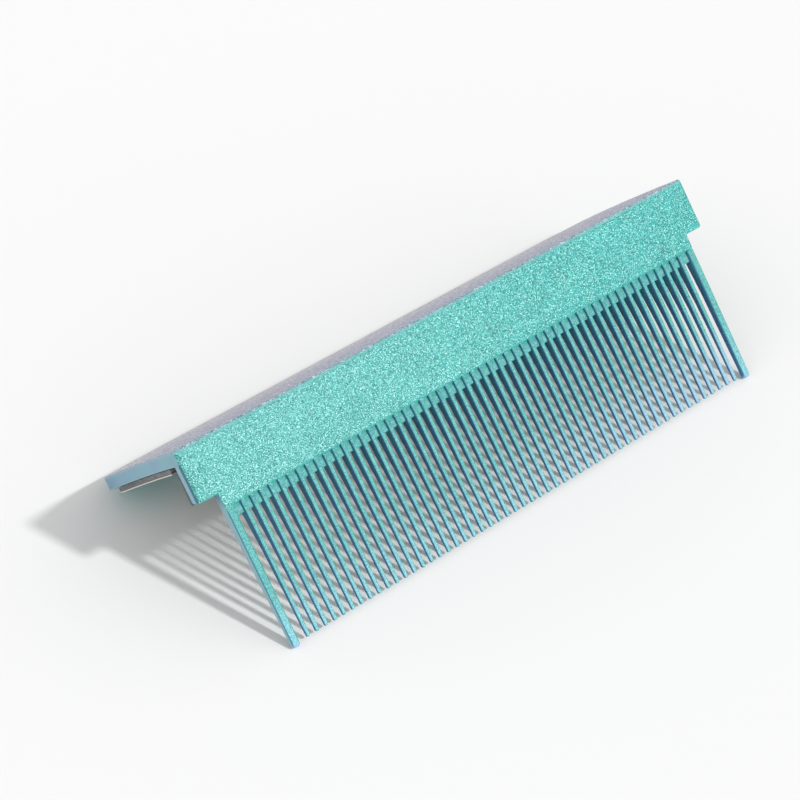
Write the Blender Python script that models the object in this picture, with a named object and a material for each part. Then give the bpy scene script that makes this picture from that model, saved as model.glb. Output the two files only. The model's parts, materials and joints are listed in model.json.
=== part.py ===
"""Stick-on comb attachment: an L-shaped comb moulding with two foam tape pads inside the L.

The comb is modelled upright in its own axes, then an empty tips it into its resting pose.
Local axes: +X runs along the comb, +Y runs back from the front face, +Z runs up to the ridge,
and the ridge's front edge lies on y = 0, z = 0. In the resting pose the comb stands like a tent
on its tooth tips and on the flange's back edge, with the floor at world z = 0.
"""

import math

import bmesh
import bpy
from mathutils import Vector

MM = 0.001

# Moulding: the front plate, with an ear at each end
COMB_LENGTH = 110.0 * MM
PLATE_THICKNESS = 2.1 * MM
PLATE_HEIGHT = 11.9 * MM
EAR_WIDTH = 3.9 * MM
EAR_HEIGHT = 9.3 * MM

# Moulding: the flange behind the ridge, gently arched over its width
FLANGE_WIDTH = 38.0 * MM
FLANGE_THICKNESS = 2.5 * MM
FLANGE_DROOP = math.radians(1.9)
FLANGE_ARCH = 0.9 * MM
FLANGE_CORNER_RADIUS = 7.0 * MM
ARCH_FACETS = 9
CORNER_FACETS = 7

# Moulding: the web that joins the tooth roots, set back from the plate's front
WEB_BOTTOM = 13.9 * MM
WEB_SETBACK = 0.55 * MM
WEB_SLOPE_END = 12.6 * MM
WEB_BACK_INSET = 0.05 * MM

# Moulding: the teeth, blades that taper in width and, on their back, in depth
INNER_TEETH = 53
TOOTH_PITCH = 1.837 * MM
TOOTH_ROOT_WIDTH = 0.82 * MM
TOOTH_TIP_WIDTH = 0.76 * MM
TOOTH_FRONT_STEP = 0.08 * MM
TOOTH_TIP_SETBACK = 0.16 * MM
TOOTH_BACK_INSET = 0.10 * MM
TOOTH_KNEE = 21.0 * MM
INNER_KNEE_BACK = 1.30 * MM
INNER_TIP_BACK = 0.72 * MM
INNER_TIP = 36.5 * MM
OUTER_TIP = 37.0 * MM
OUTER_KNEE_BACK = 1.60 * MM
OUTER_TIP_BACK = 1.20 * MM
OUTER_TOOTH_WIDTH = 1.5 * MM
OUTER_FRONT_STEP = 0.01 * MM
ROOT_OVERLAP = 0.7 * MM
INNER_TIP_RADIUS = 0.30 * MM
OUTER_TIP_RADIUS = 0.40 * MM
TIP_FACETS = 3

# Foam tape pads and their release liners
GAP = 0.3 * MM
FOAM_THICKNESS = 0.5 * MM
LINER_THICKNESS = 0.2 * MM
PAD_END_INSET = 0.1 * MM
FLANGE_PAD_FRONT = 4.6 * MM
FLANGE_PAD_BACK = 28.5 * MM
FLANGE_PAD_FACETS = 7
PLATE_PAD_TOP = 4.3 * MM
PLATE_PAD_BOTTOM = 9.3 * MM

CUTTER_MARGIN = 2.0 * MM


def clear_scene():
    for obj in list(bpy.data.objects):
        bpy.data.objects.remove(obj, do_unlink=True)


def make_material(name, colour, roughness, metallic):
    material = bpy.data.materials.new(name)
    material.use_nodes = True
    shader = material.node_tree.nodes["Principled BSDF"]
    shader.inputs["Base Color"].default_value = (*colour, 1.0)
    shader.inputs["Roughness"].default_value = roughness
    shader.inputs["Metallic"].default_value = metallic
    return material


def add_object(name, mesh_builder, parent, material=None):
    """A new object whose mesh is what mesh_builder makes, with its faces turned outwards."""
    bm = mesh_builder()
    bmesh.ops.recalc_face_normals(bm, faces=bm.faces)
    mesh = bpy.data.meshes.new(name)
    bm.to_mesh(mesh)
    bm.free()
    obj = bpy.data.objects.new(name, mesh)
    bpy.context.scene.collection.objects.link(obj)
    obj.parent = parent
    if material is not None:
        mesh.materials.append(material)
    return obj


def extrude_outline(bm, points, offset):
    """Adds the closed prism that a flat outline sweeps by offset."""
    face = bm.faces.new([bm.verts.new(point) for point in points])
    swept = bmesh.ops.extrude_face_region(bm, geom=[face])
    far_points = [item for item in swept["geom"] if isinstance(item, bmesh.types.BMVert)]
    bmesh.ops.translate(bm, vec=offset, verts=far_points)


def flange_point(y, below):
    """The (y, z) point of the flange's arched profile at y, moved below its outer face."""
    share = y / FLANGE_WIDTH
    drop = math.sin(FLANGE_DROOP) * y + FLANGE_ARCH * share**2
    slope = math.sin(FLANGE_DROOP) + 2.0 * FLANGE_ARCH * share / FLANGE_WIDTH
    length = math.hypot(1.0, slope)
    return (y - below * slope / length, -drop - below / length)


def evenly(start, end, count):
    return [start + (end - start) * step / count for step in range(count + 1)]


def arch_strip(start, end, facets, top, bottom):
    """The closed (y, z) outline of a layer under the flange's outer face, from top to bottom."""
    stations = evenly(start, end, facets)
    outer = [flange_point(y, top) for y in stations]
    inner = [flange_point(y, bottom) for y in reversed(stations)]
    return outer + inner


def moulding_profile():
    """The (y, z) outline of the L: the flange's outer face, its underside and the plate."""
    outer = [flange_point(y, 0.0) for y in evenly(0.0, FLANGE_WIDTH, ARCH_FACETS)]
    under = [
        flange_point(y, FLANGE_THICKNESS)
        for y in evenly(FLANGE_WIDTH, PLATE_THICKNESS, ARCH_FACETS)
    ]
    inner_corner = (PLATE_THICKNESS, under[-1][1])
    plate = [(PLATE_THICKNESS, -PLATE_HEIGHT), (0.0, -PLATE_HEIGHT)]
    return outer + under[:-1] + [inner_corner] + plate


def build_moulding():
    bm = bmesh.new()
    half = COMB_LENGTH / 2.0
    points = [Vector((-half, y, z)) for y, z in moulding_profile()]
    extrude_outline(bm, points, Vector((COMB_LENGTH, 0.0, 0.0)))
    return bm


def build_ear_cutters():
    """Two blocks that take the plate's lower corners away and leave the ears above them."""
    bm = bmesh.new()
    inner = COMB_LENGTH / 2.0 - EAR_WIDTH
    outer = COMB_LENGTH / 2.0 + CUTTER_MARGIN
    low = -PLATE_HEIGHT - CUTTER_MARGIN
    for side in (-1.0, 1.0):
        points = [
            Vector((side * inner, -CUTTER_MARGIN, -EAR_HEIGHT)),
            Vector((side * outer, -CUTTER_MARGIN, -EAR_HEIGHT)),
            Vector((side * outer, -CUTTER_MARGIN, low)),
            Vector((side * inner, -CUTTER_MARGIN, low)),
        ]
        depth = PLATE_THICKNESS + 2.0 * CUTTER_MARGIN
        extrude_outline(bm, points, Vector((0.0, depth, 0.0)))
    return bm


def build_corner_cutters():
    """Two blocks, each with a quarter circle taken out, that round the flange's back corners."""
    bm = bmesh.new()
    radius = FLANGE_CORNER_RADIUS
    lowest_z = flange_point(FLANGE_WIDTH, FLANGE_THICKNESS)[1]
    centre_x = COMB_LENGTH / 2.0 - radius
    centre_y = FLANGE_WIDTH - radius
    depth = 2.0 * CUTTER_MARGIN - lowest_z
    far_x = COMB_LENGTH / 2.0 + CUTTER_MARGIN
    far_y = FLANGE_WIDTH + CUTTER_MARGIN
    for side in (-1.0, 1.0):
        arc = [
            (side * (centre_x + radius * math.cos(angle)), centre_y + radius * math.sin(angle))
            for angle in evenly(0.0, math.pi / 2.0, CORNER_FACETS)
        ]
        outline = arc + [(side * centre_x, far_y), (side * far_x, far_y), (side * far_x, centre_y)]
        points = [Vector((x, y, CUTTER_MARGIN)) for x, y in outline]
        extrude_outline(bm, points, Vector((0.0, 0.0, -depth)))
    return bm


def build_web():
    """The strip between the tooth roots, whose front slopes back from the plate's lower edge."""
    bm = bmesh.new()
    half = COMB_LENGTH / 2.0 - EAR_WIDTH - OUTER_TOOTH_WIDTH / 2.0
    top = -PLATE_HEIGHT + ROOT_OVERLAP
    back = PLATE_THICKNESS - WEB_BACK_INSET
    outline = [
        (WEB_SETBACK, top),
        (WEB_BACK_INSET, -PLATE_HEIGHT),
        (WEB_SETBACK, -WEB_SLOPE_END),
        (WEB_SETBACK, -WEB_BOTTOM),
        (back, -WEB_BOTTOM),
        (back, top),
    ]
    points = [Vector((-half, y, z)) for y, z in outline]
    extrude_outline(bm, points, Vector((2.0 * half, 0.0, 0.0)))
    return bm


def tooth_front(z, tip, step):
    """How far back the front of a tooth lies at height z: it leans back slightly to its tip."""
    share = (-z - PLATE_HEIGHT) / (tip - PLATE_HEIGHT)
    return step + (TOOTH_TIP_SETBACK - step) * max(share, 0.0)


def tooth_back(z, tip, knee_back, tip_back):
    """How far back the back of a tooth lies: full at its root, thinner at the knee and the tip."""
    root_back = PLATE_THICKNESS - TOOTH_BACK_INSET
    if -z <= WEB_BOTTOM:
        return root_back
    if -z <= TOOTH_KNEE:
        share = (-z - WEB_BOTTOM) / (TOOTH_KNEE - WEB_BOTTOM)
        return root_back + (knee_back - root_back) * share
    share = (-z - TOOTH_KNEE) / (tip - TOOTH_KNEE)
    return knee_back + (tip_back - knee_back) * share


def skin_sections(bm, sections):
    """Joins four-cornered sections into a closed tube whose ends are filled."""
    rings = [[bm.verts.new(point) for point in section] for section in sections]
    for upper, lower in zip(rings, rings[1:]):
        for index in range(4):
            after = (index + 1) % 4
            bm.faces.new((upper[index], upper[after], lower[after], lower[index]))
    bm.faces.new(rings[0])
    bm.faces.new(rings[-1])


def add_tooth(bm, centre_x, widths, tip, radius, step, backs):
    """One blade, section by section from its root down to an end with rounded corners."""
    root_width, tip_width = widths
    top = -PLATE_HEIGHT + ROOT_OVERLAP
    core = tip_width / 2.0 - radius
    shoulder = -tip + radius
    stations = []
    for z in (top, -WEB_BOTTOM, -TOOTH_KNEE, shoulder):
        share = (top - z) / (top - shoulder)
        stations.append((z, (root_width + (tip_width - root_width) * share) / 2.0))
    for angle in evenly(0.0, math.pi / 2.0, TIP_FACETS)[1:]:
        stations.append((shoulder - radius * math.sin(angle), core + radius * math.cos(angle)))
    sections = []
    for z, half_width in stations:
        front = tooth_front(z, tip, step)
        back = tooth_back(z, tip, *backs)
        corners = ((-1.0, front), (1.0, front), (1.0, back), (-1.0, back))
        sections.append([Vector((centre_x + side * half_width, y, z)) for side, y in corners])
    skin_sections(bm, sections)


def build_teeth():
    """The row of inner teeth, and a wider and longer tooth at each end of it."""
    bm = bmesh.new()
    inner_widths = (TOOTH_ROOT_WIDTH, TOOTH_TIP_WIDTH)
    inner_backs = (INNER_KNEE_BACK, INNER_TIP_BACK)
    for index in range(INNER_TEETH):
        centre_x = (index - (INNER_TEETH - 1) / 2.0) * TOOTH_PITCH
        add_tooth(
            bm,
            centre_x,
            inner_widths,
            INNER_TIP,
            INNER_TIP_RADIUS,
            TOOTH_FRONT_STEP,
            inner_backs,
        )
    outer_x = COMB_LENGTH / 2.0 - EAR_WIDTH - OUTER_TOOTH_WIDTH / 2.0
    outer_widths = (OUTER_TOOTH_WIDTH, OUTER_TOOTH_WIDTH)
    outer_backs = (OUTER_KNEE_BACK, OUTER_TIP_BACK)
    for side in (-1.0, 1.0):
        add_tooth(
            bm,
            side * outer_x,
            outer_widths,
            OUTER_TIP,
            OUTER_TIP_RADIUS,
            OUTER_FRONT_STEP,
            outer_backs,
        )
    return bm


def build_flange_layer(top, bottom):
    """One layer of the flange's pad, which follows the arch of the flange's underside."""
    bm = bmesh.new()
    half = COMB_LENGTH / 2.0 - PAD_END_INSET
    outline = arch_strip(FLANGE_PAD_FRONT, FLANGE_PAD_BACK, FLANGE_PAD_FACETS, top, bottom)
    points = [Vector((-half, y, z)) for y, z in outline]
    extrude_outline(bm, points, Vector((2.0 * half, 0.0, 0.0)))
    return bm


def build_plate_layer(front, back):
    """One layer of the plate's pad, a flat strip behind the plate."""
    bm = bmesh.new()
    half = COMB_LENGTH / 2.0 - PAD_END_INSET
    corners = (
        (front, -PLATE_PAD_TOP),
        (back, -PLATE_PAD_TOP),
        (back, -PLATE_PAD_BOTTOM),
        (front, -PLATE_PAD_BOTTOM),
    )
    points = [Vector((-half, y, z)) for y, z in corners]
    extrude_outline(bm, points, Vector((2.0 * half, 0.0, 0.0)))
    return bm


def add_boolean(target, other, operation):
    other.hide_render = True
    other.display_type = "WIRE"
    modifier = target.modifiers.new(f"{operation.lower()}_{other.name}", "BOOLEAN")
    modifier.operation = operation
    modifier.object = other


def add_resting_frame():
    """The empty that tips the comb onto its tooth tips and the flange's back edge."""
    tip_y = OUTER_TIP_BACK
    tip_z = -OUTER_TIP
    edge_y, edge_z = flange_point(FLANGE_WIDTH, FLANGE_THICKNESS)
    top_y, top_z = flange_point(FLANGE_WIDTH, 0.0)
    tilt = -math.atan2(edge_z - tip_z, edge_y - tip_y)
    front_y = TOOTH_TIP_SETBACK * math.cos(tilt) - tip_z * math.sin(tilt)
    back_y = top_y * math.cos(tilt) - top_z * math.sin(tilt)
    floor_z = tip_y * math.sin(tilt) + tip_z * math.cos(tilt)
    frame = bpy.data.objects.new("resting_frame", None)
    bpy.context.scene.collection.objects.link(frame)
    frame.rotation_euler = (tilt, 0.0, 0.0)
    frame.location = (0.0, -(front_y + back_y) / 2.0, -floor_z)
    return frame


def build_comb(frame):
    pearl_plastic = make_material("pearl_plastic", (0.17, 0.60, 0.56), 0.38, 0.15)
    comb = add_object("comb_body", build_moulding, frame, pearl_plastic)
    add_boolean(comb, add_object("ear_cutters", build_ear_cutters, frame), "DIFFERENCE")
    add_boolean(comb, add_object("corner_cutters", build_corner_cutters, frame), "DIFFERENCE")
    add_boolean(comb, add_object("root_web", build_web, frame), "UNION")
    add_boolean(comb, add_object("tooth_row", build_teeth, frame), "UNION")


def build_pads(frame):
    foam = make_material("foam_tape", (0.22, 0.20, 0.21), 0.85, 0.0)
    liner = make_material("release_liner", (0.70, 0.68, 0.66), 0.45, 0.0)
    foam_top = FLANGE_THICKNESS + GAP
    foam_bottom = foam_top + FOAM_THICKNESS
    liner_top = foam_bottom + GAP
    liner_bottom = liner_top + LINER_THICKNESS
    add_object("flange_foam_tape", lambda: build_flange_layer(foam_top, foam_bottom), frame, foam)
    add_object(
        "flange_release_liner", lambda: build_flange_layer(liner_top, liner_bottom), frame, liner
    )
    foam_front = PLATE_THICKNESS + GAP
    foam_back = foam_front + FOAM_THICKNESS
    liner_front = foam_back + GAP
    liner_back = liner_front + LINER_THICKNESS
    add_object("plate_foam_tape", lambda: build_plate_layer(foam_front, foam_back), frame, foam)
    add_object(
        "plate_release_liner", lambda: build_plate_layer(liner_front, liner_back), frame, liner
    )


def main():
    clear_scene()
    frame = add_resting_frame()
    build_comb(frame)
    build_pads(frame)


main()
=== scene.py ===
"""Looks for the stick-on comb: a finer comb body, two tape pads, materials, light and camera.

The comb is modelled in its own axes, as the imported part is: +X runs along it, +Y runs back from the
plate's front face, +Z runs up to the ridge, and the ridge's front edge lies on y = 0, z = 0.
"""

import json
import math

import bmesh
import bpy
from mathutils import Matrix, Vector, noise


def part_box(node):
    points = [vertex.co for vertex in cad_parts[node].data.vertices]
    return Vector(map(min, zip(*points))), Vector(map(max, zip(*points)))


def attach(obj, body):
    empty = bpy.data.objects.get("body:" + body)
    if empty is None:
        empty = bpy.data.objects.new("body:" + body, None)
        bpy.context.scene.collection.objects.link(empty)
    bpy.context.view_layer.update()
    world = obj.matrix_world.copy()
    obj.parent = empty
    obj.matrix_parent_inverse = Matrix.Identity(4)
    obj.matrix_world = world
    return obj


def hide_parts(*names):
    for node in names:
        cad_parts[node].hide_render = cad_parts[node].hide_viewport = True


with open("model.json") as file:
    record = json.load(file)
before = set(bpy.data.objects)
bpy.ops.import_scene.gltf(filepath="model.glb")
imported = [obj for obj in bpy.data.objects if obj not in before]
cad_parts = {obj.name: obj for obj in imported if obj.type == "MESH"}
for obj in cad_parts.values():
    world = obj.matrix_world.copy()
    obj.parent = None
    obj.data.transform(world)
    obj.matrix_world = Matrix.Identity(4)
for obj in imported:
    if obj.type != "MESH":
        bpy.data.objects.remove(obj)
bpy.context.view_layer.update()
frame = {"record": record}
RECORD = frame["record"]

MM = 0.001

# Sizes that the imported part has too
PLATE_THICKNESS = 2.1 * MM
PLATE_HEIGHT = 11.9 * MM
EAR_WIDTH = 3.9 * MM
EAR_HEIGHT = 9.3 * MM
FLANGE_WIDTH = 38.0 * MM
FLANGE_THICKNESS = 2.5 * MM
FLANGE_DROOP = math.radians(1.9)
FLANGE_ARCH = 0.9 * MM
FLANGE_CORNER_RADIUS = 7.0 * MM
WEB_BOTTOM = 13.9 * MM
WEB_SETBACK = 0.55 * MM
WEB_SLOPE_END = 12.6 * MM
WEB_BACK_INSET = 0.05 * MM
INNER_TEETH = 53
TOOTH_PITCH = 1.837 * MM
TOOTH_ROOT_WIDTH = 0.82 * MM
TOOTH_TIP_WIDTH = 0.76 * MM
TOOTH_FRONT_STEP = 0.08 * MM
TOOTH_TIP_SETBACK = 0.16 * MM
TOOTH_BACK_INSET = 0.10 * MM
TOOTH_KNEE = 21.0 * MM
INNER_KNEE_BACK = 1.30 * MM
INNER_TIP_BACK = 0.72 * MM
INNER_TIP = 36.5 * MM
OUTER_TIP = 37.0 * MM
OUTER_KNEE_BACK = 1.60 * MM
OUTER_TIP_BACK = 1.20 * MM
INNER_TIP_RADIUS = 0.30 * MM
OUTER_TIP_RADIUS = 0.40 * MM
OUTER_TOOTH_WIDTH = 1.5 * MM
OUTER_FRONT_STEP = 0.01 * MM
ROOT_OVERLAP = 0.7 * MM
GAP = 0.3 * MM
FOAM_THICKNESS = 0.5 * MM
LINER_THICKNESS = 0.2 * MM
PAD_END_INSET = 0.1 * MM
FLANGE_PAD_FRONT = 4.6 * MM
FLANGE_PAD_BACK = 28.5 * MM
PLATE_PAD_TOP = 4.3 * MM
PLATE_PAD_BOTTOM = 9.3 * MM

# Roundings of this model
CORNER_ROUNDING = 0.95 * MM
EAR_ROUNDING = 0.60 * MM
INNER_FILLET = 0.70 * MM
LIP_ROUNDING = 0.40 * MM
EDGE_ROUNDING = 0.25 * MM
INNER_EDGE = 0.19 * MM  # the teeth's front edges
OUTER_EDGE = 0.35 * MM
BACK_EDGE_ROOT_MM = 0.08  # the teeth's back edges grow rounder from root to tip
BACK_EDGE_GROWTH_MM = 0.34
MOST_EDGE_SHARE = 0.42  # of a tooth's width or depth
TIP_TURN = math.radians(84.0)
TIP_DEPTH_KEPT = 0.7
TIP_DEPTH_LOST = 0.3
WEB_LIP = 0.12 * MM  # the web's bottom edges are cut off by this much
WEB_TUCK = 0.04 * MM  # how far the web starts behind the plate's rounded lip
WEB_LEDGE = 0.25 * MM
WEB_LEDGE_DEPTH = 0.1 * MM
PAD_EASE_SHARE = 0.22  # of a layer's thickness

# Fineness of this model
ARCH_STEPS = 20
CORNER_STEPS = 18
EDGE_SEGMENTS = 4
SECTION_STEPS = 4
KNEE_STEPS = 3
SHANK_STEPS = 5
TIP_STEPS = 6
PAD_ARCH_STEPS = 24
STRIP_STEPS = 260
CUTTER_MARGIN = 2.0 * MM
TOLERANCE = 0.01 * MM
MERGE_DISTANCE = 0.2 * MM
LONG_EDGE = 1.0 * MM  # longer edges run along the comb
FLAT_ANGLE = math.radians(0.05)
CORNER_ANGLE = math.radians(30.0)
SMOOTH_ANGLE = math.radians(38.0)

# Pads: how far the cut edges wander, and the room between layers
PAD_CLEARANCE = 0.06 * MM
FOAM_WOBBLE = 0.02 * MM
LINER_WOBBLE = 0.015 * MM
WOBBLE_LENGTH = 1.3 * MM
WOBBLE_STEP = 0.35
WOBBLE_RISE = 0.3
FLANGE_LINER_OVERHANG = 0.05 * MM
PLATE_LINER_INSET = 0.35 * MM

# Paint colours, as linear red, green and blue
PLATE_DARK_LEFT = (0.010, 0.125, 0.116)
PLATE_DARK_RIGHT = (0.004, 0.108, 0.102)
PLATE_LIGHT_LEFT = (0.125, 0.480, 0.450)
PLATE_LIGHT_RIGHT = (0.062, 0.445, 0.415)
# painted glint: bright flake highlights painted into the base colour
PAINTED_GLINT = (0.40, 0.80, 0.77)
TOOTH_DARK = (0.030, 0.190, 0.185)
TOOTH_LIGHT = (0.120, 0.430, 0.420)
TIP_DARK = (0.080, 0.250, 0.290)
TIP_LIGHT = (0.250, 0.560, 0.640)
LILAC_TIP = (0.30, 0.38, 0.64)
RIGHT_TIPS = (0.29, 0.40, 0.59)
RIGHT_FLANK = (0.02, 0.33, 0.20)
# the teeth's left-facing edges: the pearl's blue shift, with painted shade
LEFT_FLANK_BLUE_AND_SHADE = (0.040, 0.180, 0.250)
LEFT_EDGE = (0.030, 0.160, 0.190)
# painted shade on the web just under the plate's lip
WEB_RECESS_SHADE = (0.012, 0.19, 0.175)
# painted highlight along the ridge's rounded front edge
RIDGE_HIGHLIGHT = (0.24, 0.62, 0.58)
# painted light: down-facing faces, such as the plate's lower lip, are painted brighter than their
# lighting gives
UNDERSIDE_PAINTED_LIGHT = (0.065, 0.41, 0.38)
INSIDE_DARK = (0.045, 0.19, 0.21)
INSIDE_LIGHT = (0.12, 0.34, 0.35)
# flange top: the mauve-grey is partly painted reflection of the bright sky at a grazing view
TOP_FRONT = (0.235, 0.43, 0.54)
TOP_MIDDLE = (0.42, 0.43, 0.58)
TOP_BACK = (0.57, 0.56, 0.63)
TOP_DARK_GRAIN = (0.12, 0.14, 0.18)
TOP_LIGHT_GRAIN = (0.88, 0.86, 0.92)
END_BLUE = (0.215, 0.35, 0.49)
END_TEAL = (0.205, 0.40, 0.47)
END_BY_PLATE = (0.16, 0.41, 0.40)
END_BY_BACK = (0.12, 0.24, 0.38)
END_GLITTER = (0.38, 0.55, 0.62)
# painted highlight along the top edge of the flange's ends
END_TOP_HIGHLIGHT = (0.33, 0.42, 0.53)
# painted highlight along the lower edge of the flange's ends
END_LOWER_HIGHLIGHT = (0.36, 0.42, 0.50)
# painted shade: a dark navy line along the ears' end faces, by the plate's front
EAR_FRONT_SHADE = (0.012, 0.090, 0.150)
EAR_BACK = (0.27, 0.41, 0.50)
# navy tooth sides: the pearl's blue, darkened with painted shade between the teeth
SIDE_NAVY_AND_SHADE = (0.024, 0.135, 0.290)
SIDE_TIP = (0.045, 0.140, 0.340)
SIDE_ROOT = (0.050, 0.240, 0.310)
SIDE_RIGHT = (0.03, 0.27, 0.24)
# painted light: a paler copy for the outermost tooth side, which no neighbour shades
SIDE_OUTERMOST_LIT = (0.26, 0.42, 0.47)
SIDE_DARK_FLAKE = (0.008, 0.055, 0.150)
SIDE_LIGHT_FLAKE = (0.110, 0.270, 0.480)
GREY_FOAM = ((0.09, 0.09, 0.095), (0.23, 0.225, 0.24))
# a shaded copy of the foam tape: the plate's pad is painted darker and olive, as painted shade
SHADED_FOAM = ((0.045, 0.085, 0.078), (0.10, 0.165, 0.150))
PORE_SHADE = 0.4
KRAFT_DARK = (0.33, 0.31, 0.28)
KRAFT_LIGHT = (0.45, 0.42, 0.38)
# painted highlight on the paper's cut ends
CUT_HIGHLIGHT_DARK = (0.50, 0.48, 0.46)
CUT_HIGHLIGHT_LIGHT = (0.62, 0.60, 0.58)
FLOOR_DARK = (0.800, 0.800, 0.800)
FLOOR_LIGHT = (0.815, 0.815, 0.815)
FLAKES_PER_METRE = 10500.0
GRAINS_PER_METRE = 4200.0
PORES_PER_METRE = 3800.0

# Floor, camera and light
FLOOR_HALF = 3.0
CAMERA_AZIMUTH = math.radians(38.225)
CAMERA_ELEVATION = math.radians(42.239)
CAMERA_ROLL = math.radians(-1.164)
CAMERA_TARGET = Vector((-0.539, 9.883, 0.0)) * MM
CAMERA_DISTANCE = 440.39 * MM
CAMERA_LENS = 111.85
SENSOR_WIDTH = 36.0
CLIP_NEAR = 0.01
CLIP_FAR = 20.0
LIGHT_TRAVEL = Vector((-0.3274, 0.6558, -0.6803))
LIGHT_ANGLE = math.radians(3.8)
LIGHT_STRENGTH = 1.95
SKY_ZENITH = 0.22
SKY_HORIZON = 1.06
KEY_HALO = 0.85
KEY_HALO_TIGHTNESS = 4.0
LEFT_FILL = 0.46
LEFT_TIGHTNESS = 2.0
LEFT_HEADING = Vector((-0.97, -0.12, 0.20))


def mount(name):
    return next(m for m in RECORD["mounts"] if m["name"] == name)


def comb_matrix():
    """Where the comb's own axes lie: the plate's mount faces along +Y, at the back of its pad."""
    plate_mount = mount("plate_adhesive_face")
    along = Vector((1.0, 0.0, 0.0))
    back = Vector(plate_mount["axis"]).normalized()
    up = along.cross(back)
    depth = PLATE_THICKNESS + 2.0 * GAP + FOAM_THICKNESS + LINER_THICKNESS
    middle = (PLATE_PAD_TOP + PLATE_PAD_BOTTOM) / 2.0
    origin = Vector(plate_mount["pos_m"]) - back * depth + up * middle
    rotation = Matrix((along, back, up)).transposed().to_4x4()
    return Matrix.Translation(origin) @ rotation


COMB = comb_matrix()
COMB_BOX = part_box("comb_body")
HALF_LENGTH = COMB_BOX[1].x
NOTCH_X = HALF_LENGTH - EAR_WIDTH


# ---------------------------------------------------------------- mesh helpers


def evenly(start, end, count):
    return [start + (end - start) * step / count for step in range(count + 1)]


def new_object(name, bm):
    bmesh.ops.recalc_face_normals(bm, faces=bm.faces)
    mesh = bpy.data.meshes.new(name)
    bm.to_mesh(mesh)
    bm.free()
    obj = bpy.data.objects.new(name, mesh)
    bpy.context.scene.collection.objects.link(obj)
    return obj


def extrude_outline(bm, points, offset):
    """Adds the closed prism that a flat outline sweeps by offset."""
    face = bm.faces.new([bm.verts.new(point) for point in points])
    swept = bmesh.ops.extrude_face_region(bm, geom=[face])
    far_points = [item for item in swept["geom"] if isinstance(item, bmesh.types.BMVert)]
    bmesh.ops.translate(bm, vec=offset, verts=far_points)


def skin_rings(bm, rings):
    """Joins rings of points into a closed tube whose ends are filled."""
    loops = [[bm.verts.new(point) for point in ring] for ring in rings]
    count = len(loops[0])
    for first, second in zip(loops, loops[1:]):
        for index in range(count):
            after = (index + 1) % count
            bm.faces.new((first[index], first[after], second[after], second[index]))
    bm.faces.new(list(reversed(loops[0])))
    bm.faces.new(loops[-1])


def apply_modifiers(obj):
    """Swaps the object's mesh for what its modifiers make of it."""
    bpy.context.view_layer.update()
    evaluated = obj.evaluated_get(bpy.context.evaluated_depsgraph_get())
    mesh = bpy.data.meshes.new_from_object(evaluated)
    obj.modifiers.clear()
    obj.data = mesh


def combine(obj, other, operation):
    """Cuts or joins obj with other, and removes other."""
    modifier = obj.modifiers.new(operation.lower(), "BOOLEAN")
    modifier.operation = operation
    modifier.solver = "EXACT"
    modifier.object = other
    apply_modifiers(obj)
    bpy.data.objects.remove(other, do_unlink=True)


def smooth(obj):
    obj.data.shade_smooth()
    obj.data.set_sharp_from_angle(angle=SMOOTH_ANGLE)
    weighted = obj.modifiers.new("even_normals", "WEIGHTED_NORMAL")
    weighted.keep_sharp = True
    weighted.weight = 100


# ---------------------------------------------------------------- comb body


def flange_point(y, below):
    """The (y, z) point of the flange's arched profile at y, moved below its outer face."""
    share = y / FLANGE_WIDTH
    drop = math.sin(FLANGE_DROOP) * y + FLANGE_ARCH * share**2
    slope = math.sin(FLANGE_DROOP) + 2.0 * FLANGE_ARCH * share / FLANGE_WIDTH
    length = math.hypot(1.0, slope)
    return (y - below * slope / length, -drop - below / length)


def moulding_profile():
    """The L of flange and plate, as (y, z) points in turn."""
    outer = [flange_point(y, 0.0) for y in evenly(0.0, FLANGE_WIDTH, ARCH_STEPS)]
    under = [
        flange_point(y, FLANGE_THICKNESS)
        for y in evenly(FLANGE_WIDTH, PLATE_THICKNESS, ARCH_STEPS)
    ]
    inner_corner = (PLATE_THICKNESS, under[-1][1])
    plate = [(PLATE_THICKNESS, -PLATE_HEIGHT), (0.0, -PLATE_HEIGHT)]
    return outer + under[:-1] + [inner_corner] + plate


def build_moulding():
    bm = bmesh.new()
    points = [Vector((-HALF_LENGTH, y, z)) for y, z in moulding_profile()]
    extrude_outline(bm, points, Vector((2.0 * HALF_LENGTH, 0.0, 0.0)))
    return bm


def build_ear_cutters():
    """What is cut away below the two ears, outside the tooth row."""
    bm = bmesh.new()
    outer = HALF_LENGTH + CUTTER_MARGIN
    low = -PLATE_HEIGHT - CUTTER_MARGIN
    for side in (-1.0, 1.0):
        corners = (
            (NOTCH_X, -EAR_HEIGHT),
            (outer, -EAR_HEIGHT),
            (outer, low),
            (NOTCH_X, low),
        )
        points = [Vector((side * x, -CUTTER_MARGIN, z)) for x, z in corners]
        extrude_outline(bm, points, Vector((0.0, PLATE_THICKNESS + 2.0 * CUTTER_MARGIN, 0.0)))
    return bm


def build_corner_cutters():
    """What is cut away to round the flange's two back corners."""
    bm = bmesh.new()
    radius = FLANGE_CORNER_RADIUS
    lowest_z = flange_point(FLANGE_WIDTH, FLANGE_THICKNESS)[1]
    centre_x = HALF_LENGTH - radius
    centre_y = FLANGE_WIDTH - radius
    far_x = HALF_LENGTH + CUTTER_MARGIN
    far_y = FLANGE_WIDTH + CUTTER_MARGIN
    depth = 2.0 * CUTTER_MARGIN - lowest_z
    for side in (-1.0, 1.0):
        arc = [
            (side * (centre_x + radius * math.cos(angle)), centre_y + radius * math.sin(angle))
            for angle in evenly(0.0, math.pi / 2.0, CORNER_STEPS)
        ]
        outline = arc + [(side * centre_x, far_y), (side * far_x, far_y), (side * far_x, centre_y)]
        points = [Vector((x, y, CUTTER_MARGIN)) for x, y in outline]
        extrude_outline(bm, points, Vector((0.0, 0.0, -depth)))
    return bm


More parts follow.
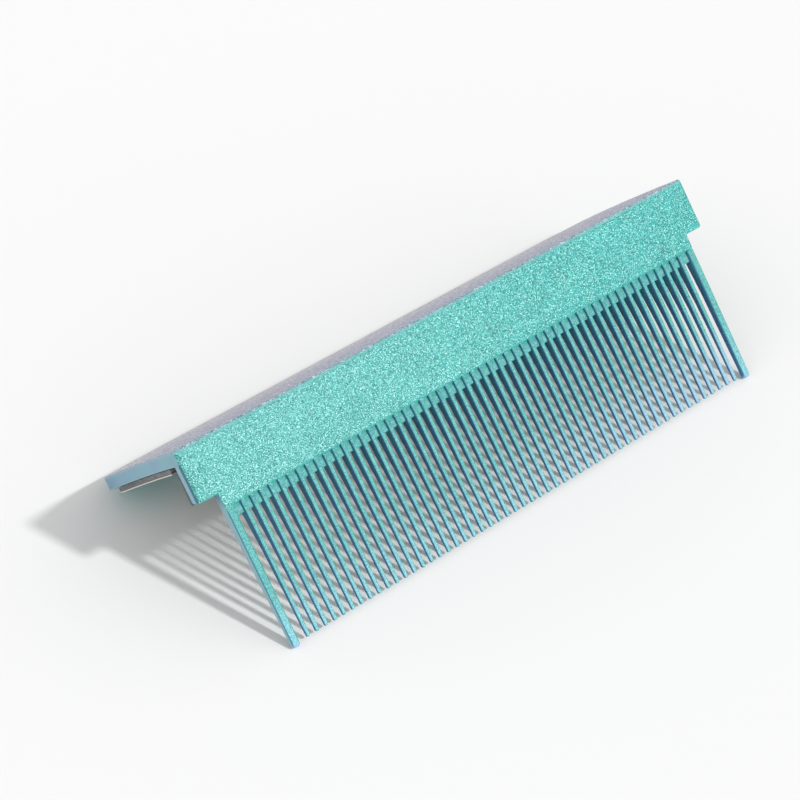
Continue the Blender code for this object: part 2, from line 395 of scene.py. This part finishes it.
def rounding(edge, corner_depth):
    """How far to round one edge of the moulding."""
    first, second = (vert.co for vert in edge.verts)
    at_end = min(abs(first.x), abs(second.x)) > HALF_LENGTH - TOLERANCE
    at_front = max(first.y, second.y) < TOLERANCE
    at_plate_back = abs(first.y - PLATE_THICKNESS) < TOLERANCE
    depth = -max(first.z, second.z)
    runs_along = abs(first.x - second.x) > LONG_EDGE
    if at_end and at_front:
        return CORNER_ROUNDING
    if at_end and depth > EAR_HEIGHT - TOLERANCE:
        return EAR_ROUNDING
    if runs_along and at_front and depth > PLATE_HEIGHT - TOLERANCE:
        return LIP_ROUNDING
    if runs_along and at_plate_back and abs(depth - corner_depth) < TOLERANCE:
        return INNER_FILLET
    return EDGE_ROUNDING


def round_edges(obj):
    """Rounds the moulding's edges: most at the plate's upright ends, least along the flange."""
    bm = bmesh.new()
    bm.from_mesh(obj.data)
    bmesh.ops.remove_doubles(bm, verts=bm.verts, dist=MERGE_DISTANCE)
    bmesh.ops.dissolve_limit(bm, angle_limit=FLAT_ANGLE, verts=bm.verts, edges=bm.edges)
    corner_depth = -flange_point(PLATE_THICKNESS, FLANGE_THICKNESS)[1]
    layer = bm.edges.layers.float.new("bevel_weight_edge")
    for edge in bm.edges:
        if len(edge.link_faces) == 2 and edge.calc_face_angle() > CORNER_ANGLE:
            edge[layer] = rounding(edge, corner_depth) / CORNER_ROUNDING
    bm.to_mesh(obj.data)
    bm.free()
    bevel = obj.modifiers.new("round_edges", "BEVEL")
    bevel.limit_method = "WEIGHT"
    bevel.width = CORNER_ROUNDING
    bevel.segments = EDGE_SEGMENTS
    bevel.use_clamp_overlap = False
    apply_modifiers(obj)


def build_web():
    """The strip between the tooth roots, set back from the plate's face."""
    bm = bmesh.new()
    half = NOTCH_X - OUTER_TOOTH_WIDTH / 2.0
    top = -PLATE_HEIGHT + ROOT_OVERLAP
    back = PLATE_THICKNESS - WEB_BACK_INSET
    outline = [
        (WEB_SETBACK, top),
        (LIP_ROUNDING, -PLATE_HEIGHT + WEB_TUCK),
        (WEB_SETBACK + WEB_LEDGE_DEPTH, -PLATE_HEIGHT - WEB_LEDGE),
        (WEB_SETBACK, -WEB_SLOPE_END),
        (WEB_SETBACK, -WEB_BOTTOM + WEB_LIP),
        (WEB_SETBACK + WEB_LIP, -WEB_BOTTOM),
        (back - WEB_LIP, -WEB_BOTTOM),
        (back, -WEB_BOTTOM + WEB_LIP),
        (back, top),
    ]
    points = [Vector((-half, y, z)) for y, z in outline]
    extrude_outline(bm, points, Vector((2.0 * half, 0.0, 0.0)))
    return bm


def rounded_section(centre_x, front, back, width, front_radius, back_radius):
    """A rounded rectangle in x and y, as a list of points in turn."""
    half = width / 2.0
    corners = (
        (half - front_radius, front + front_radius, front_radius, -0.5 * math.pi),
        (half - back_radius, back - back_radius, back_radius, 0.0),
        (-half + back_radius, back - back_radius, back_radius, 0.5 * math.pi),
        (-half + front_radius, front + front_radius, front_radius, math.pi),
    )
    points = []
    for x, y, radius, start in corners:
        for angle in evenly(start, start + math.pi / 2.0, SECTION_STEPS):
            points.append((centre_x + x + radius * math.cos(angle), y + radius * math.sin(angle)))
    return points


def tooth_front(z, tip, step):
    """How far a tooth's front lies behind the plate's face at height z."""
    share = (-z - PLATE_HEIGHT) / (tip - PLATE_HEIGHT)
    return step + (TOOTH_TIP_SETBACK - step) * max(share, 0.0)


def tooth_back(z, tip, knee_back, tip_back):
    """Where a tooth's back lies at height z: straight by the web, then thinning past a knee."""
    root_back = PLATE_THICKNESS - TOOTH_BACK_INSET
    if -z <= WEB_BOTTOM:
        return root_back
    if -z <= TOOTH_KNEE:
        share = (-z - WEB_BOTTOM) / (TOOTH_KNEE - WEB_BOTTOM)
        return root_back + (knee_back - root_back) * share
    share = (-z - TOOTH_KNEE) / (tip - TOOTH_KNEE)
    return knee_back + (tip_back - knee_back) * share


def tooth_rings(centre_x, widths, tip, cap, step, backs, edge):
    """Sections down one tooth, which narrows evenly and ends with rounded corners."""
    root_width, tip_width = widths
    top = -PLATE_HEIGHT + ROOT_OVERLAP
    shoulder = -tip + cap
    heights = [top] + evenly(-WEB_BOTTOM, -TOOTH_KNEE, KNEE_STEPS)
    heights += evenly(-TOOTH_KNEE, shoulder, SHANK_STEPS)[1:]
    rings = []
    for z in heights:
        share = (top - z) / (top - shoulder)
        width = root_width + (tip_width - root_width) * share
        front = tooth_front(z, tip, step)
        back = tooth_back(z, tip, *backs)
        largest = min(MOST_EDGE_SHARE * width, MOST_EDGE_SHARE * (back - front))
        back_edge = (BACK_EDGE_ROOT_MM + BACK_EDGE_GROWTH_MM * share) * MM
        section = rounded_section(
            centre_x, front, back, width, min(edge, largest), min(back_edge, largest)
        )
        rings.append([Vector((x, y, z)) for x, y in section])
    for turn in evenly(0.0, TIP_TURN, TIP_STEPS)[1:]:
        z = shoulder - cap * math.sin(turn)
        shrink = math.cos(turn)
        front = tooth_front(z, tip, step)
        back = tooth_back(z, tip, *backs)
        middle = (front + back) / 2.0
        half_depth = (back - front) / 2.0 * (TIP_DEPTH_KEPT + TIP_DEPTH_LOST * shrink)
        width = tip_width - 2.0 * cap * (1.0 - shrink)
        radius = MOST_EDGE_SHARE * min(width, 2.0 * half_depth)
        section = rounded_section(
            centre_x, middle - half_depth, middle + half_depth, width, radius, radius
        )
        rings.append([Vector((x, y, z)) for x, y in section])
    return rings


def build_teeth():
    """The inner teeth, then the two wider outer ones."""
    bm = bmesh.new()
    widths = (TOOTH_ROOT_WIDTH, TOOTH_TIP_WIDTH)
    backs = (INNER_KNEE_BACK, INNER_TIP_BACK)
    for index in range(INNER_TEETH):
        centre_x = (index - (INNER_TEETH - 1) / 2.0) * TOOTH_PITCH
        rings = tooth_rings(
            centre_x, widths, INNER_TIP, INNER_TIP_RADIUS, TOOTH_FRONT_STEP, backs, INNER_EDGE
        )
        skin_rings(bm, rings)
    outer_x = NOTCH_X - OUTER_TOOTH_WIDTH / 2.0
    widths = (OUTER_TOOTH_WIDTH, OUTER_TOOTH_WIDTH)
    backs = (OUTER_KNEE_BACK, OUTER_TIP_BACK)
    for x in (-outer_x, outer_x):
        rings = tooth_rings(
            x, widths, OUTER_TIP, OUTER_TIP_RADIUS, OUTER_FRONT_STEP, backs, OUTER_EDGE
        )
        skin_rings(bm, rings)
    return bm


def make_comb():
    """The whole moulding as one closed mesh, still in its own axes."""
    comb = new_object("comb_moulding", build_moulding())
    combine(comb, new_object("ear_cutters", build_ear_cutters()), "DIFFERENCE")
    combine(comb, new_object("corner_cutters", build_corner_cutters()), "DIFFERENCE")
    round_edges(comb)
    combine(comb, new_object("web", build_web()), "UNION")
    combine(comb, new_object("teeth", build_teeth()), "UNION")
    smooth(comb)
    return comb


# ---------------------------------------------------------------- tape pads


def strip_rings(profile, half, wobble, seed):
    """Sections of a strip along X whose outline wanders a little, as a cut edge does."""
    rings = []
    for x in evenly(-half, half, STRIP_STEPS):
        ring = []
        for index, (y, z) in enumerate(profile):
            where = Vector((x / WOBBLE_LENGTH, index * WOBBLE_STEP, seed))
            shift = noise.noise(where) * wobble
            ring.append(Vector((x, y, z)) + Vector((0.0, shift, shift * WOBBLE_RISE)))
        rings.append(ring)
    return rings


def layer_profile(top, bottom):
    """The (y, z) outline of a layer under the flange, with its four corners eased."""
    front, back = FLANGE_PAD_FRONT, FLANGE_PAD_BACK
    ease = PAD_EASE_SHARE * (bottom - top)
    outer = [flange_point(y, top) for y in evenly(front + ease, back - ease, PAD_ARCH_STEPS)]
    inner = [flange_point(y, bottom) for y in evenly(back - ease, front + ease, PAD_ARCH_STEPS)]
    back_edge = [flange_point(back, top + ease), flange_point(back, bottom - ease)]
    front_edge = [flange_point(front, bottom - ease), flange_point(front, top + ease)]
    return outer + back_edge + inner + front_edge


def plate_profile(front, back):
    """The (y, z) outline of a layer behind the plate, with its four corners eased."""
    top, bottom = PLATE_PAD_TOP, PLATE_PAD_BOTTOM
    ease = PAD_EASE_SHARE * (back - front)
    return [
        (front, -top - ease),
        (front + ease, -top),
        (back - ease, -top),
        (back, -top - ease),
        (back, -bottom + ease),
        (back - ease, -bottom),
        (front + ease, -bottom),
        (front, -bottom + ease),
    ]


def make_strip(name, profile, half, wobble, seed):
    """One layer of tape, from -half to half along X."""
    bm = bmesh.new()
    skin_rings(bm, strip_rings(profile, half, wobble, seed))
    strip = new_object(name, bm)
    smooth(strip)
    return strip


def make_pads():
    """The two foam pads and their liners, each layer a little clear of the next."""
    half = HALF_LENGTH - PAD_END_INSET
    foam_top = FLANGE_THICKNESS + PAD_CLEARANCE
    foam_bottom = FLANGE_THICKNESS + GAP + FOAM_THICKNESS
    liner_top = foam_bottom + PAD_CLEARANCE
    liner_bottom = liner_top + LINER_THICKNESS
    foam_front = PLATE_THICKNESS + PAD_CLEARANCE
    foam_back = PLATE_THICKNESS + GAP + FOAM_THICKNESS
    liner_front = foam_back + PAD_CLEARANCE
    liner_back = liner_front + LINER_THICKNESS
    return (
        make_strip(
            "flange_foam",
            layer_profile(foam_top, foam_bottom),
            half=half,
            wobble=FOAM_WOBBLE,
            seed=1.0,
        ),
        make_strip(
            "flange_liner",
            layer_profile(liner_top, liner_bottom),
            half=half + FLANGE_LINER_OVERHANG,
            wobble=LINER_WOBBLE,
            seed=2.0,
        ),
        make_strip(
            "plate_foam",
            plate_profile(foam_front, foam_back),
            half=half,
            wobble=FOAM_WOBBLE,
            seed=3.0,
        ),
        make_strip(
            "plate_liner",
            plate_profile(liner_front, liner_back),
            half=half - PLATE_LINER_INSET,
            wobble=LINER_WOBBLE,
            seed=4.0,
        ),
    )


# ---------------------------------------------------------------- materials


class Graph:
    """A short way to write a node tree."""

    def __init__(self, tree):
        self.tree = tree

    def link(self, source, target):
        if isinstance(source, bpy.types.NodeSocket):
            self.tree.links.new(source, target)
        else:
            target.default_value = source

    def node(self, kind, **settings):
        made = self.tree.nodes.new(kind)
        for name, value in settings.items():
            setattr(made, name, value)
        return made

    def maths(self, operation, *values):
        made = self.node("ShaderNodeMath", operation=operation)
        for value, socket in zip(values, made.inputs):
            self.link(value, socket)
        return made.outputs[0]

    def times(self, first, second):
        return self.maths("MULTIPLY", first, second)

    def axes(self, vector):
        made = self.node("ShaderNodeSeparateXYZ")
        self.link(vector, made.inputs["Vector"])
        return made.outputs["X"], made.outputs["Y"], made.outputs["Z"]


class Paint(Graph):
    """A material whose places and directions are in the comb's own axes."""

    def __init__(self, name):
        self.material = bpy.data.materials.new(name)
        self.material.use_nodes = True
        super().__init__(self.material.node_tree)
        self.shader = self.tree.nodes["Principled BSDF"]
        coordinates = self.node("ShaderNodeTexCoord")
        self.place = self.to_comb_axes(coordinates.outputs["Object"], COMB.translation)

    def to_comb_axes(self, vector, origin):
        """A point, or with a zero origin a direction, in the comb's own axes."""
        made = self.node("ShaderNodeMapping", vector_type="TEXTURE")
        self.link(vector, made.inputs["Vector"])
        made.inputs["Location"].default_value = origin
        made.inputs["Rotation"].default_value = COMB.to_euler()
        return made.outputs["Vector"]

    def own_normal(self):
        """Which way the surface faces."""
        geometry = self.node("ShaderNodeNewGeometry")
        turn = self.node(
            "ShaderNodeVectorTransform",
            vector_type="NORMAL",
            convert_from="WORLD",
            convert_to="OBJECT",
        )
        self.link(geometry.outputs["Normal"], turn.inputs["Vector"])
        return self.axes(self.to_comb_axes(turn.outputs["Vector"], Vector()))

    def span(self, value, low, high, to_low=0.0, to_high=1.0):
        """A smooth step of value from low to high."""
        made = self.node("ShaderNodeMapRange", interpolation_type="SMOOTHSTEP")
        self.link(value, made.inputs["Value"])
        made.inputs["From Min"].default_value = low
        made.inputs["From Max"].default_value = high
        made.inputs["To Min"].default_value = to_low
        made.inputs["To Max"].default_value = to_high
        return made.outputs["Result"]

    def mix(self, share, first, second):
        made = self.node("ShaderNodeMix", data_type="RGBA")
        self.link(share, made.inputs["Factor"])
        for value, socket in ((first, made.inputs["A"]), (second, made.inputs["B"])):
            if isinstance(value, tuple):
                value = (*value, 1.0)
            self.link(value, socket)
        return made.outputs["Result"]

    def noise(self, scale, detail, roughness=0.5):
        made = self.node("ShaderNodeTexNoise")
        self.link(self.place, made.inputs["Vector"])
        made.inputs["Scale"].default_value = scale
        made.inputs["Detail"].default_value = detail
        made.inputs["Roughness"].default_value = roughness
        return made.outputs["Fac"]

    def cells(self, scale):
        """Two random numbers for each small cell, and how far a point is from its middle."""
        made = self.node("ShaderNodeTexVoronoi", feature="F1")
        self.link(self.place, made.inputs["Vector"])
        made.inputs["Scale"].default_value = scale
        split = self.node("ShaderNodeSeparateColor")
        self.link(made.outputs["Color"], split.inputs["Color"])
        return split.outputs["Red"], split.outputs["Green"], made.outputs["Distance"]

    def bump(self, height, strength, distance):
        made = self.node("ShaderNodeBump")
        self.link(height, made.inputs["Height"])
        made.inputs["Strength"].default_value = strength
        made.inputs["Distance"].default_value = distance
        self.link(made.outputs["Normal"], self.shader.inputs["Normal"])


class PearlPaint(Paint):
    """Turquoise pearl paint with fine glitter and painted glints.

    The real paint changes colour with the angle of view. Here each face has the colour it shows from
    the
    front: navy tooth sides that also hold painted shade, grey-blue ends with painted highlights on
    their edges, and a mauve flange that is partly painted reflection. Depth runs down from the ridge.
    """

    def __init__(self):
        super().__init__("pearl_plastic")
        self.x, self.y, height = self.axes(self.place)
        self.face_x, self.face_y, self.face_z = self.own_normal()
        self.depth = self.times(height, -1.0)
        self.on_tooth = self.span(self.depth, PLATE_HEIGHT, PLATE_HEIGHT + 0.6 * MM)
        self.toward_tip = self.span(self.depth, 24.0 * MM, 37.0 * MM)
        self.flake, self.sparkle, _ = self.cells(FLAKES_PER_METRE)
        self.fine = self.noise(9000.0, 1.0)
        self.cloud = self.noise(160.0, 3.0)
        self.glitter = self.maths("ADD", self.times(self.flake, 0.85), self.times(self.fine, 0.3))
        patches = self.times(self.maths("SUBTRACT", self.cloud, 0.5), 0.25)
        self.glitter = self.maths("ADD", self.glitter, patches)

    def turquoise(self):
        """Glitter on the plate and on the teeth, bluer towards the tips, with bright flakes painted
        in as glints.
        """
        rightward = self.span(self.x, -50.0 * MM, 50.0 * MM)
        dark = self.mix(rightward, PLATE_DARK_LEFT, PLATE_DARK_RIGHT)
        light = self.mix(rightward, PLATE_LIGHT_LEFT, PLATE_LIGHT_RIGHT)
        dark = self.mix(self.on_tooth, dark, TOOTH_DARK)
        light = self.mix(self.on_tooth, light, TOOTH_LIGHT)
        dark = self.mix(self.toward_tip, dark, TIP_DARK)
        light = self.mix(self.toward_tip, light, TIP_LIGHT)
        colour = self.mix(self.span(self.glitter, 0.25, 0.9), dark, light)
        # Painted highlight: a few flakes are painted as bright glints, fewer on the teeth.
        painted_glint = self.maths("GREATER_THAN", self.sparkle, 0.90)
        fewer_on_teeth = self.maths("MULTIPLY_ADD", self.on_tooth, -0.7, 1.0)
        return self.mix(self.times(painted_glint, fewer_on_teeth), colour, PAINTED_GLINT)

    def front(self):
        """The plate's and the teeth's fronts, with their rounded edges."""
        colour = self.turquoise()
        right_flank = self.times(self.span(self.face_x, 0.15, 0.7), self.on_tooth)
        colour = self.mix(right_flank, colour, RIGHT_FLANK)
        # The teeth's left-facing rounded edges: the pearl's blue shift with painted shade, as the
        # light comes from the right.
        left_flank_blue_and_shade = self.times(self.span(self.face_x, -0.1, -0.6), self.on_tooth)
        colour = self.mix(left_flank_blue_and_shade, colour, LEFT_FLANK_BLUE_AND_SHADE)
        low = self.span(self.depth, 24.0 * MM, 34.0 * MM)
        blue_tips = self.times(self.span(self.x, -10.0 * MM, 48.0 * MM), low)
        not_outer_tooth = self.span(self.x, 48.8 * MM, 48.6 * MM, 0.0, 0.45)
        colour = self.mix(self.times(blue_tips, not_outer_tooth), colour, RIGHT_TIPS)

        at_left_end = self.span(self.x, -54.5 * MM, -54.7 * MM)
        left_edge = self.times(at_left_end, self.span(self.face_x, -0.50, -0.80))
        left_edge = self.times(left_edge, self.span(self.depth, 1.6 * MM, 2.6 * MM))
        colour = self.mix(left_edge, colour, LEFT_EDGE)
        # Painted shade: the web is darker just under the plate's lip.
        web = self.times(self.on_tooth, self.span(self.y, 0.32 * MM, 0.45 * MM))
        recess_shade = self.times(web, self.span(self.depth, 12.9 * MM, 12.5 * MM))
        colour = self.mix(self.times(recess_shade, 0.55), colour, WEB_RECESS_SHADE)
        # Painted highlight on the rounded ridge edge.
        near_ridge = self.span(self.depth, 0.8 * MM, 0.3 * MM)
        ridge = self.times(near_ridge, self.span(self.face_z, 0.02, 0.3))
        return self.mix(self.times(ridge, 0.6), colour, RIDGE_HIGHLIGHT)

    def flange_top(self):
        """Mauve, greyer towards the back, with a coarser grain. The pale mauve-grey is partly painted
        reflection of the bright sky, which this face shows at a grazing view.
        """
        grain = self.cells(GRAINS_PER_METRE)[0]
        colour = self.mix(self.span(self.y, 0.0, 9.0 * MM), TOP_FRONT, TOP_MIDDLE)
        colour = self.mix(self.span(self.y, 8.0 * MM, 30.0 * MM), colour, TOP_BACK)
        colour = self.mix(self.span(grain, 0.45, 0.0, 0.0, 0.9), colour, TOP_DARK_GRAIN)
        return self.mix(self.span(grain, 0.65, 1.0, 0.0, 0.9), colour, TOP_LIGHT_GRAIN)

    def tooth_side(self):
        # Navy: the pearl's blue with painted shade where neighbouring teeth shade the sides.
        colour = self.mix(self.toward_tip, SIDE_NAVY_AND_SHADE, SIDE_TIP)
        by_root = self.span(self.depth, 20.0 * MM, 14.0 * MM, 0.0, 0.65)
        colour = self.mix(by_root, colour, SIDE_ROOT)
        colour = self.mix(self.span(self.flake, 0.45, 0.0, 0.0, 0.75), colour, SIDE_DARK_FLAKE)
        colour = self.mix(self.span(self.flake, 0.55, 1.0, 0.0, 0.75), colour, SIDE_LIGHT_FLAKE)
        colour = self.mix(self.span(self.face_x, 0.2, 0.6), colour, SIDE_RIGHT)
        # Painted light on the outermost tooth side, paler as nothing beside it shades it; near the
        # ear it fades to painted shade.
        outermost_lit = self.span(self.x, -50.7 * MM, -50.9 * MM)
        outermost_lit = self.times(outermost_lit, self.span(self.depth, 9.3 * MM, 12.5 * MM, 0.3))
        return self.mix(outermost_lit, colour, SIDE_OUTERMOST_LIT)

    def ends(self):
        """Every face that looks along the comb: the flange's ends, the ears' and the teeth's."""
        colour = self.mix(self.span(self.cloud, 0.35, 0.65), END_BLUE, END_TEAL)
        by_plate = self.span(self.y, 8.0 * MM, 2.0 * MM, 0.0, 0.4)
        colour = self.mix(by_plate, colour, END_BY_PLATE)
        by_back = self.span(self.y, 26.0 * MM, 33.0 * MM, 0.0, 0.5)
        colour = self.mix(by_back, colour, END_BY_BACK)
        colour = self.mix(self.span(self.glitter, 0.4, 1.1, 0.0, 0.3), colour, END_GLITTER)
        lean = self.maths(
            "MULTIPLY_ADD", self.y, FLANGE_ARCH / FLANGE_WIDTH**2, math.sin(FLANGE_DROOP)
        )
        below = self.maths("SUBTRACT", self.depth, self.times(lean, self.y))
        # Painted highlight along the top edge of each end.
        top_edge_highlight = self.span(below, 0.7 * MM, 0.1 * MM, 0.0, 0.8)
        colour = self.mix(top_edge_highlight, colour, END_TOP_HIGHLIGHT)

        in_plate = self.span(self.y, 2.4 * MM, 2.15 * MM)
        plate_end = self.times(self.span(self.depth, 2.3 * MM, 2.7 * MM), in_plate)
        colour = self.mix(plate_end, colour, self.tooth_side())
        # Ear ends: the navy strip by the front is painted shade, the rest the end's grey-blue.
        on_ear = self.span(self.maths("ABSOLUTE", self.x), 53.5 * MM, 54.0 * MM)
        ear_colour = self.mix(self.span(self.y, 0.35 * MM, 0.85 * MM), EAR_FRONT_SHADE, EAR_BACK)
        colour = self.mix(self.times(plate_end, on_ear), colour, ear_colour)
        # Painted highlight along the lower edge of each flange end.
        under_flange = self.span(below, 2.15 * MM, 2.35 * MM)
        lower_edge_highlight = self.times(under_flange, self.span(self.y, 1.9 * MM, 2.2 * MM))
        return self.mix(lower_edge_highlight, colour, END_LOWER_HIGHLIGHT)

    def finish(self):
        colour = self.mix(self.span(self.face_z, 0.55, 0.9), self.front(), self.flange_top())
        # Painted light: down-facing faces are lifted with a brighter colour.
        colour = self.mix(self.span(self.face_z, -0.35, -0.7), colour, UNDERSIDE_PAINTED_LIGHT)
        inside = self.mix(self.span(self.glitter, 0.2, 1.0), INSIDE_DARK, INSIDE_LIGHT)
        colour = self.mix(self.span(self.face_y, 0.3, 0.8), colour, inside)
        sideways = self.span(self.maths("ABSOLUTE", self.face_x), 0.72, 0.93)
        colour = self.mix(sideways, colour, self.ends())
        tip = self.times(self.span(self.depth, 36.2 * MM, 36.9 * MM), 0.7)
        colour = self.mix(tip, colour, LILAC_TIP)
        self.link(colour, self.shader.inputs["Base Color"])
        self.link(self.span(self.flake, 0.0, 1.0, 0.42, 0.62), self.shader.inputs["Roughness"])
        self.shader.inputs["Metallic"].default_value = 0.10
        self.shader.inputs["Specular IOR Level"].default_value = 0.30
        relief = self.maths("ADD", self.flake, self.times(self.fine, 0.5))
        self.bump(relief, 0.25, 0.02 * MM)
        return self.material


def foam_material(name, dark, light):
    """Closed-cell foam: matt, with fine pores."""
    g = Paint(name)
    _, tone, rim = g.cells(PORES_PER_METRE)
    blotch = g.noise(700.0, 4.0)
    shade = g.maths("ADD", g.times(blotch, 0.6), g.times(tone, 0.4))
    colour = g.mix(g.span(shade, 0.25, 0.75), dark, light)
    in_pore = g.span(rim, 0.45, 0.1, 0.0, 0.5)
    colour = g.mix(in_pore, colour, tuple(PORE_SHADE * channel for channel in dark))
    g.link(colour, g.shader.inputs["Base Color"])
    g.link(g.span(tone, 0.0, 1.0, 0.75, 0.95), g.shader.inputs["Roughness"])
    g.bump(g.maths("ADD", rim, blotch), 0.5, 0.05 * MM)
    return g.material


def liner_material():
    """Kraft release paper: faint fibres, a slight sheen, and paler at its cut ends, a painted
    highlight.
    """
    g = Paint("release_paper")
    fibre = g.noise(1800.0, 5.0, 0.7)
    cloud = g.noise(120.0, 3.0)
    shade = g.maths("ADD", g.times(fibre, 0.5), g.times(cloud, 0.5))
    colour = g.mix(g.span(shade, 0.35, 0.65), KRAFT_DARK, KRAFT_LIGHT)
    # Painted highlight: the cut ends are paler.
    cut = g.span(g.maths("ABSOLUTE", g.own_normal()[0]), 0.4, 0.8)
    colour = g.mix(cut, colour, g.mix(fibre, CUT_HIGHLIGHT_DARK, CUT_HIGHLIGHT_LIGHT))
    g.link(colour, g.shader.inputs["Base Color"])
    g.link(g.span(fibre, 0.3, 0.7, 0.38, 0.55), g.shader.inputs["Roughness"])
    g.bump(fibre, 0.15, 0.02 * MM)
    return g.material


def floor_material():
    g = Paint("floor")
    g.link(g.mix(g.noise(6.0, 2.0), FLOOR_DARK, FLOOR_LIGHT), g.shader.inputs["Base Color"])
    g.shader.inputs["Roughness"].default_value = 0.9
    g.shader.inputs["Specular IOR Level"].default_value = 0.1
    return g.material


# ---------------------------------------------------------------- stage, light, camera


def make_floor():
    bm = bmesh.new()
    bmesh.ops.create_grid(bm, x_segments=1, y_segments=1, size=FLOOR_HALF)
    floor = new_object("floor", bm)
    floor.data.materials.append(floor_material())


def add_halo(g, heading, centre, tightness, strength, base):
    """World brightness: base, plus a soft patch of sky that fades out around its centre."""
    towards = g.node("ShaderNodeVectorMath", operation="DOT_PRODUCT")
    g.link(heading, towards.inputs[0])
    towards.inputs[1].default_value = centre
    facing = g.maths("MAXIMUM", towards.outputs["Value"], 0.0)
    return g.maths("MULTIPLY_ADD", g.maths("POWER", facing, tightness), strength, base)


def make_light():
    """A soft sun from the front right, and a white sky, brighter round the sun and at the left."""
    sun = bpy.data.lights.new("key_light", "SUN")
    sun.energy = LIGHT_STRENGTH
    sun.angle = LIGHT_ANGLE
    lamp = bpy.data.objects.new("key_light", sun)
    bpy.context.scene.collection.objects.link(lamp)
    lamp.rotation_mode = "QUATERNION"
    lamp.rotation_quaternion = LIGHT_TRAVEL.to_track_quat("-Z", "Y")
    world = bpy.data.worlds.new("studio")
    world.use_nodes = True
    g = Graph(world.node_tree)
    heading = g.node("ShaderNodeTexCoord").outputs["Generated"]
    fade = g.node("ShaderNodeMapRange")
    fade.inputs["To Min"].default_value = SKY_HORIZON
    fade.inputs["To Max"].default_value = SKY_ZENITH
    g.link(g.axes(heading)[2], fade.inputs["Value"])
    sky = fade.outputs["Result"]
    sky = add_halo(g, heading, -LIGHT_TRAVEL, KEY_HALO_TIGHTNESS, KEY_HALO, sky)
    sky = add_halo(g, heading, LEFT_HEADING, LEFT_TIGHTNESS, LEFT_FILL, sky)
    background = g.tree.nodes["Background"]
    background.inputs["Color"].default_value = (1.0, 1.0, 1.0, 1.0)
    g.link(sky, background.inputs["Strength"])
    bpy.context.scene.world = world


def make_camera():
    """The camera that the photo was fitted to."""
    level = Vector((math.sin(CAMERA_AZIMUTH), math.cos(CAMERA_AZIMUTH), 0.0))
    forward = level * math.cos(CAMERA_ELEVATION) - Vector((0.0, 0.0, math.sin(CAMERA_ELEVATION)))
    camera = bpy.data.cameras.new("camera")
    camera.lens = CAMERA_LENS
    camera.sensor_width = SENSOR_WIDTH
    camera.clip_start = CLIP_NEAR
    camera.clip_end = CLIP_FAR
    eye = bpy.data.objects.new("camera", camera)
    bpy.context.scene.collection.objects.link(eye)
    eye.rotation_mode = "QUATERNION"
    look = forward.to_track_quat("-Z", "Y").to_matrix() @ Matrix.Rotation(CAMERA_ROLL, 3, "Z")
    eye.rotation_quaternion = look.to_quaternion()
    eye.location = CAMERA_TARGET - forward * CAMERA_DISTANCE
    bpy.context.scene.camera = eye


def make_object():
    pearl = PearlPaint().finish()
    grey_foam = foam_material("grey_foam_tape", *GREY_FOAM)
    # The plate's foam is the same tape as the flange's, in a darker copy: painted shade.
    shaded_foam = foam_material("shaded_foam_tape", *SHADED_FOAM)
    paper = liner_material()
    comb = make_comb()
    flange_foam, flange_liner, plate_foam, plate_liner = make_pads()
    looks = (
        (comb, "comb_body", "pearl_plastic", pearl),
        (flange_foam, "flange_foam_tape", "foam_tape", grey_foam),
        (flange_liner, "flange_release_liner", "release_liner", paper),
        (plate_foam, "plate_foam_tape", "foam_tape", shaded_foam),
        (plate_liner, "plate_release_liner", "release_liner", paper),
    )
    for piece, node, slot, material in looks:
        piece.data.transform(COMB)
        piece.data.materials.clear()
        piece.data.materials.append(material)
        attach(piece, "root")
        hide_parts(node)


make_object()
make_floor()
make_light()
make_camera()
bpy.context.scene.view_settings.view_transform = "Standard"
